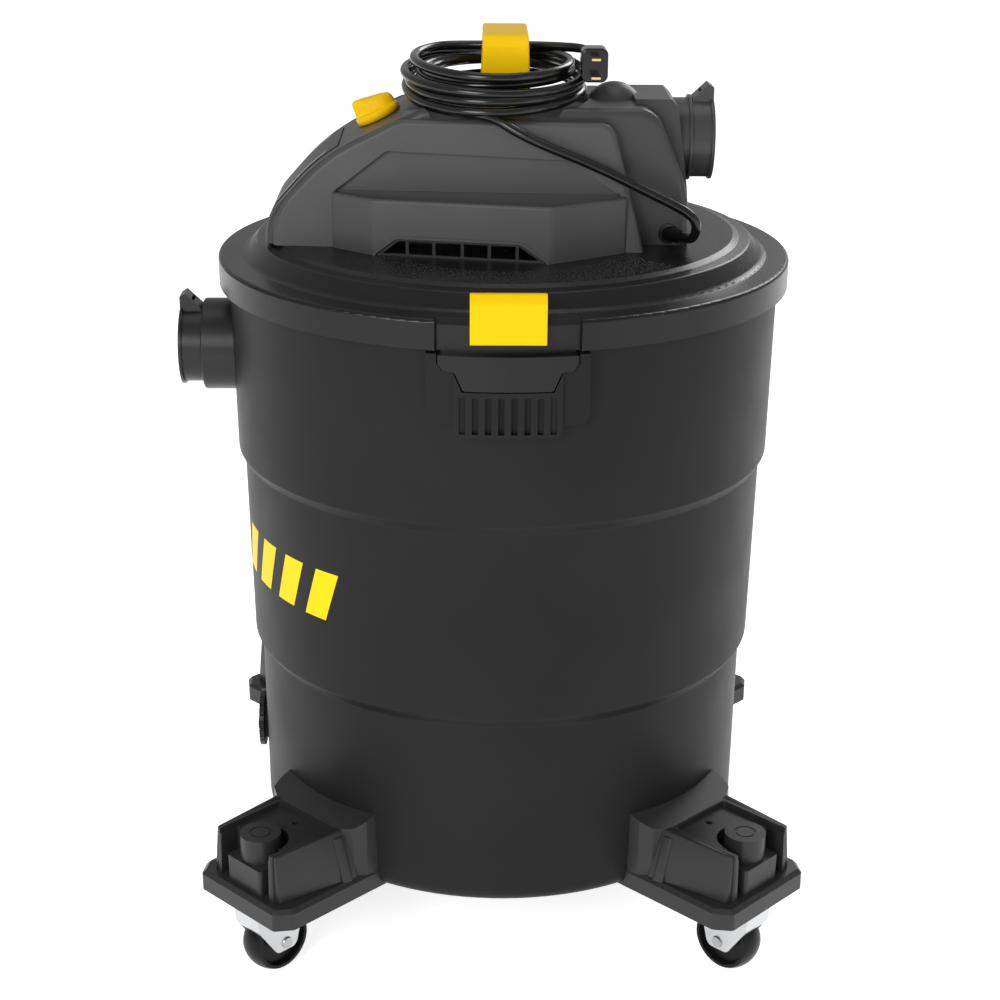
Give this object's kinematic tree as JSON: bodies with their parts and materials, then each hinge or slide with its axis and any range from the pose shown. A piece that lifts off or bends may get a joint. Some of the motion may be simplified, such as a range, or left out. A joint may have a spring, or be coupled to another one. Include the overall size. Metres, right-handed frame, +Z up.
{
  "type": "shop vacuum",
  "caption": "Wet and dry shop vacuum on swivel casters, with a stepped drum, clamped lid, motor head, carry handle, hose inlet, blower outlet and wound mains cord.",
  "frame": {"origin": "on the floor, under the drum's axis", "axes": "+Z up, -X towards the hose inlet and switch, +X towards the blower outlet, -Y the machine's left side"},
  "size_m": [0.4635, 0.445, 0.669],
  "materials": {
    "black_plastic": "satin moulded polypropylene",
    "grey_plastic": "satin moulded",
    "yellow_plastic": "satin moulded",
    "grille_plastic": "matte",
    "label_silver": "printed satin film",
    "zinc_steel": "zinc plated",
    "cord_jacket": "gloss vinyl",
    "brass": "polished",
    "copper": "enamelled wire",
    "carbon": "matte",
    "seal_rubber": "matte",
    "white_plastic": "satin",
    "filter_paper": "pleated paper",
    "wheel_plastic": "satin"
  },
  "bodies": {
    "drum": {"tank": "black_plastic", "inlet_port": "black_plastic", "inlet_deflector": "black_plastic", "caster_pod_front_left": "black_plastic", "caster_pod_front_right": "black_plastic", "caster_pod_rear_left": "black_plastic", "caster_pod_rear_right": "black_plastic", "pod_screws": "zinc_steel"},
    "drain_cap": {"drain_cap": "black_plastic", "drain_seal": "seal_rubber"},
    "lid": {"lid": "black_plastic", "lid_gasket": "seal_rubber", "head_housing": "black_plastic", "side_cover_left": "grey_plastic", "side_cover_right": "grey_plastic", "vent_grille_left": "grille_plastic", "vent_grille_right": "grille_plastic", "blower_port": "black_plastic", "carry_handle": "yellow_plastic", "switch_body": "black_plastic", "front_label": "label_silver", "strain_relief": "cord_jacket", "cord_tail": "cord_jacket", "cord_coil": "cord_jacket", "plug_body": "cord_jacket", "plug_blades": "brass", "motor_stator": "zinc_steel", "stator_windings": "copper", "motor_bearings": "zinc_steel", "brush_holders": "black_plastic", "carbon_brushes": "carbon", "motor_bracket": "grey_plastic", "impeller_housing": "black_plastic", "filter_cage": "black_plastic", "cage_screws": "zinc_steel", "housing_screws": "zinc_steel", "handle_screws": "zinc_steel", "latch_pins": "zinc_steel"},
    "latch_left": {"latch_left": "yellow_plastic"},
    "latch_right": {"latch_right": "yellow_plastic"},
    "power_knob": {"power_knob": "yellow_plastic"},
    "rotor": {"armature": "zinc_steel", "impeller": "white_plastic", "cooling_fan": "white_plastic"},
    "float_ball": {"float_ball": "white_plastic"},
    "cartridge_filter": {"cartridge_filter": "filter_paper"},
    "filter_retainer": {"filter_retainer": "grey_plastic"},
    "caster_front_left": {"caster_fork_front_left": "zinc_steel", "caster_axle_front_left": "zinc_steel"},
    "wheel_front_left": {"caster_wheel_front_left": "wheel_plastic"},
    "caster_front_right": {"caster_fork_front_right": "zinc_steel", "caster_axle_front_right": "zinc_steel"},
    "wheel_front_right": {"caster_wheel_front_right": "wheel_plastic"},
    "caster_rear_left": {"caster_fork_rear_left": "zinc_steel", "caster_axle_rear_left": "zinc_steel"},
    "wheel_rear_left": {"caster_wheel_rear_left": "wheel_plastic"},
    "caster_rear_right": {"caster_fork_rear_right": "zinc_steel", "caster_axle_rear_right": "zinc_steel"},
    "wheel_rear_right": {"caster_wheel_rear_right": "wheel_plastic"}
  },
  "joints": [
    {"name": "lid_lift", "type": "slide", "parent": "drum", "child": "lid", "axis": [0, 0, 1], "range_m": [0, 0.2]},
    {"name": "latch_left_hinge", "type": "hinge", "parent": "lid", "child": "latch_left", "pos_m": [0, -0.2, 0.5172], "axis": [-1, 0, 0], "range_deg": [0, 80]},
    {"name": "latch_right_hinge", "type": "hinge", "parent": "lid", "child": "latch_right", "pos_m": [0, 0.2, 0.5172], "axis": [1, 0, 0], "range_deg": [0, 80]},
    {"name": "drain_cap_slide", "type": "slide", "parent": "drum", "child": "drain_cap", "axis": [-1, 0, 0], "range_m": [0, 0.04]},
    {"name": "power_knob_turn", "type": "hinge", "parent": "lid", "child": "power_knob", "pos_m": [-0.0905, 0, 0.60561], "axis": [-0.4302, 0, 0.9027], "range_deg": [0, 90]},
    {"name": "rotor_spin", "type": "hinge", "parent": "lid", "child": "rotor", "pos_m": [0, 0, 0.55], "axis": [0, 0, 1], "continuous": true},
    {"name": "float_rise", "type": "slide", "parent": "lid", "child": "float_ball", "axis": [0, 0, 1], "range_m": [0, 0.107]},
    {"name": "retainer_drop", "type": "slide", "parent": "lid", "child": "filter_retainer", "axis": [0, 0, -1], "range_m": [0, 0.2402]},
    {"name": "filter_drop", "type": "slide", "parent": "lid", "child": "cartridge_filter", "axis": [0, 0, -1], "range_m": [0, 0.216]},
    {"name": "caster_front_left_swivel", "type": "hinge", "parent": "drum", "child": "caster_front_left", "pos_m": [-0.17819, -0.17819, 0.07], "axis": [0, 0, 1], "continuous": true},
    {"name": "wheel_front_left_spin", "type": "hinge", "parent": "caster_front_left", "child": "wheel_front_left", "pos_m": [-0.16971, -0.16971, 0.025], "axis": [0.7071, -0.7071, 0], "continuous": true},
    {"name": "caster_front_right_swivel", "type": "hinge", "parent": "drum", "child": "caster_front_right", "pos_m": [-0.17819, 0.17819, 0.07], "axis": [0, 0, 1], "continuous": true},
    {"name": "wheel_front_right_spin", "type": "hinge", "parent": "caster_front_right", "child": "wheel_front_right", "pos_m": [-0.16971, 0.16971, 0.025], "axis": [-0.7071, -0.7071, 0], "continuous": true},
    {"name": "caster_rear_left_swivel", "type": "hinge", "parent": "drum", "child": "caster_rear_left", "pos_m": [0.17819, -0.17819, 0.07], "axis": [0, 0, 1], "continuous": true},
    {"name": "wheel_rear_left_spin", "type": "hinge", "parent": "caster_rear_left", "child": "wheel_rear_left", "pos_m": [0.16971, -0.16971, 0.025], "axis": [0.7071, 0.7071, 0], "continuous": true},
    {"name": "caster_rear_right_swivel", "type": "hinge", "parent": "drum", "child": "caster_rear_right", "pos_m": [0.17819, 0.17819, 0.07], "axis": [0, 0, 1], "continuous": true},
    {"name": "wheel_rear_right_spin", "type": "hinge", "parent": "caster_rear_right", "child": "wheel_rear_right", "pos_m": [0.16971, 0.16971, 0.025], "axis": [-0.7071, 0.7071, 0], "continuous": true}
  ],
  "couplings": [
    {"joint": "retainer_drop", "follows": "filter_drop", "ratio": 1.1111}
  ]
}
